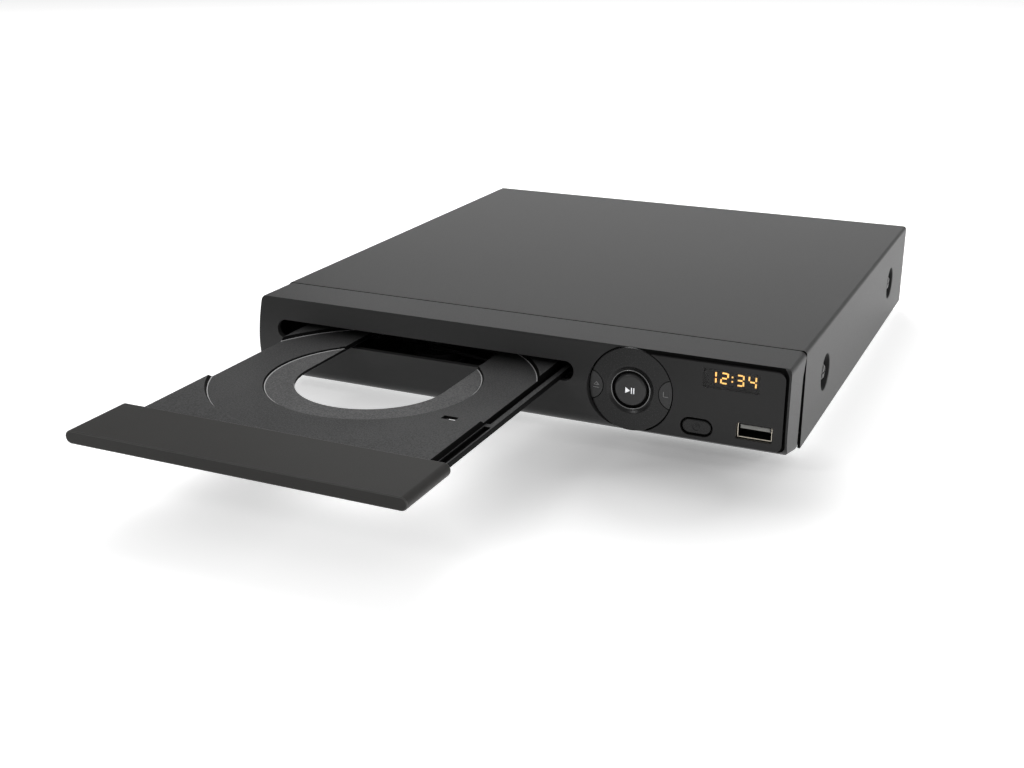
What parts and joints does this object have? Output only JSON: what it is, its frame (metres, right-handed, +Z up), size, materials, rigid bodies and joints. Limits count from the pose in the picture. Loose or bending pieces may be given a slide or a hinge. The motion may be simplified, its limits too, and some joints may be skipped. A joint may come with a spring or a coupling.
{
  "type": "dvd player with tray",
  "caption": "Slim disc player in a folded steel cover, with a motorised tray standing open, a round control disc, a smoked display panel and a USB socket.",
  "frame": {"origin": "middle of the footprint with the tray out, on the surface the feet stand on", "axes": "+X to the right seen from the front, +Y from the front to the back, the way the tray goes in, +Z up"},
  "size_m": [0.225, 0.3754, 0.0426],
  "materials": {
    "cover_paint": "satin dark grey powder coat",
    "sheet_steel": "plain zinc-plated sheet",
    "front_plastic": "fine matt black-grey moulding",
    "smoked_panel": "glossy smoked panel",
    "button_plastic": "satin dark grey",
    "bright_metal": "bright plated metal",
    "steel_pin": "turned steel",
    "board": "green solder resist",
    "paper_board": "tan paper laminate",
    "black_parts": "black component bodies",
    "amber_light": "lit amber segments",
    "gold_plate": "gold flash",
    "tray_plastic": "fine-grained dark grey",
    "lip_plastic": "satin dark grey",
    "frame_plastic": "black moulding",
    "gear_plastic": "natural acetal",
    "soft_rubber": "soft black rubber",
    "lens": "coated lens",
    "fin_metal": "plain aluminium",
    "cable": "flat cable film",
    "red_cable": "insulated wire",
    "ferrite": "core with yellow tape"
  },
  "bodies": {
    "case": {"top_cover": "cover_paint", "chassis": "sheet_steel", "rubber_feet": "soft_rubber", "cover_screws": "black_parts", "rear_screws": "black_parts", "front_fascia": "front_plastic", "display_panel": "smoked_panel", "control_ring": "button_plastic", "play_trim_ring": "bright_metal", "front_board": "board", "tact_switches": "black_parts", "ir_receiver": "black_parts", "front_board_screws": "steel_pin", "display_module": "black_parts", "display_digits": "amber_light", "usb_shell": "bright_metal", "usb_tongue": "black_parts", "usb_contacts": "gold_plate", "loader_frame": "frame_plastic", "tray_motor": "bright_metal", "drive_belt": "soft_rubber", "clamp_bridge": "sheet_steel", "bridge_screws": "steel_pin", "loader_screws": "steel_pin", "main_board": "board", "board_chips": "black_parts", "heat_sink": "fin_metal", "board_capacitors": "black_parts", "board_screws": "steel_pin", "av_block": "black_parts", "av_barrels": "gold_plate", "hdmi_shell": "bright_metal", "hdmi_tongue": "black_parts", "power_board": "paper_board", "transformer": "ferrite", "mains_inlet": "black_parts", "inlet_pins": "bright_metal", "front_ribbon": "cable", "loader_ribbon": "cable", "power_leads": "red_cable"},
    "tray": {"disc_tray": "tray_plastic", "tray_lip": "lip_plastic"},
    "motor_pulley_wheel": {"motor_pulley": "gear_plastic"},
    "belt_wheel": {"belt_gear": "gear_plastic"},
    "drive_wheel": {"drive_gear": "gear_plastic"},
    "cam": {"cam_slider": "gear_plastic"},
    "deck": {"traverse_deck": "sheet_steel", "spindle_motor": "bright_metal", "guide_rods": "steel_pin", "sled_motor": "bright_metal"},
    "turntable_wheel": {"turntable": "front_plastic"},
    "sled": {"laser_sled": "frame_plastic", "objective_lens": "lens"},
    "sled_motor_wheel": {"sled_pinion": "gear_plastic"},
    "sled_wheel": {"sled_gear": "gear_plastic"},
    "clamp": {"disc_clamp": "front_plastic"},
    "play": {"play_button": "button_plastic"},
    "eject": {"eject_button": "button_plastic"},
    "stop": {"stop_button": "button_plastic"},
    "power": {"power_button": "button_plastic"}
  },
  "joints": [
    {"name": "tray_slide", "type": "slide", "parent": "case", "child": "tray", "axis": [0, 1, 0], "range_m": [0, 0.129]},
    {"name": "drive_spin", "type": "hinge", "parent": "case", "child": "drive_wheel", "pos_m": [0.0125, -0.01975, 0.024], "axis": [0, 0, 1], "range_deg": [-1, 1480]},
    {"name": "belt_spin", "type": "hinge", "parent": "case", "child": "belt_wheel", "pos_m": [-0.0035, -0.01975, 0.02], "axis": [0, 0, 1], "range_deg": [-4440, 3]},
    {"name": "motor_spin", "type": "hinge", "parent": "case", "child": "motor_pulley_wheel", "pos_m": [-0.05, -0.01675, 0.0178], "axis": [0, 0, 1], "range_deg": [-13320, 10]},
    {"name": "deck_tilt", "type": "hinge", "parent": "case", "child": "deck", "pos_m": [-0.036, 0.11425, 0.017], "axis": [-1, 0, 0], "range_deg": [0, 5.2]},
    {"name": "cam_slide", "type": "slide", "parent": "case", "child": "cam", "axis": [1, 0, 0], "range_m": [0, 0.02405]},
    {"name": "turntable_spin", "type": "hinge", "parent": "deck", "child": "turntable_wheel", "pos_m": [-0.036, 0.0322, 0.02158], "axis": [0, -0.0906, 0.9959], "continuous": true},
    {"name": "clamp_spin", "type": "hinge", "parent": "case", "child": "clamp", "pos_m": [-0.036, 0.03295, 0.034], "axis": [0, 0, 1], "continuous": true},
    {"name": "sled_slide", "type": "slide", "parent": "deck", "child": "sled", "axis": [0, 0.9959, 0.0906], "range_m": [0, 0.032]},
    {"name": "sled_gear_spin", "type": "hinge", "parent": "deck", "child": "sled_wheel", "pos_m": [-0.004, 0.07565, 0.01851], "axis": [0, -0.0906, 0.9959], "range_deg": [-460, 1]},
    {"name": "sled_pinion_spin", "type": "hinge", "parent": "deck", "child": "sled_motor_wheel", "pos_m": [0.00449, 0.08401, 0.02027], "axis": [0, -0.0906, 0.9959], "range_deg": [-2, 920]},
    {"name": "play_press", "type": "slide", "parent": "case", "child": "play", "axis": [0, 1, 0], "range_m": [0, 0.0006], "stiffness_N_per_m": 800, "springref_m": -0.0005},
    {"name": "eject_press", "type": "slide", "parent": "case", "child": "eject", "axis": [0, 1, 0], "range_m": [0, 0.0006], "stiffness_N_per_m": 800, "springref_m": -0.0005},
    {"name": "stop_press", "type": "slide", "parent": "case", "child": "stop", "axis": [0, 1, 0], "range_m": [0, 0.0006], "stiffness_N_per_m": 800, "springref_m": -0.0005},
    {"name": "power_press", "type": "slide", "parent": "case", "child": "power", "axis": [0, 1, 0], "range_m": [0, 0.0006], "stiffness_N_per_m": 800, "springref_m": -0.0005}
  ],
  "couplings": [
    {"joint": "drive_spin", "follows": "tray_slide", "rad_per_m": 200},
    {"joint": "belt_spin", "follows": "tray_slide", "rad_per_m": -600},
    {"joint": "motor_spin", "follows": "tray_slide", "rad_per_m": -1800},
    {"joint": "cam_slide", "follows": "deck_tilt", "m_per_rad": 0.26444},
    {"joint": "clamp_spin", "follows": "turntable_spin", "ratio": 1},
    {"joint": "sled_gear_spin", "follows": "sled_slide", "rad_per_m": -250},
    {"joint": "sled_pinion_spin", "follows": "sled_slide", "rad_per_m": 500}
  ]
}
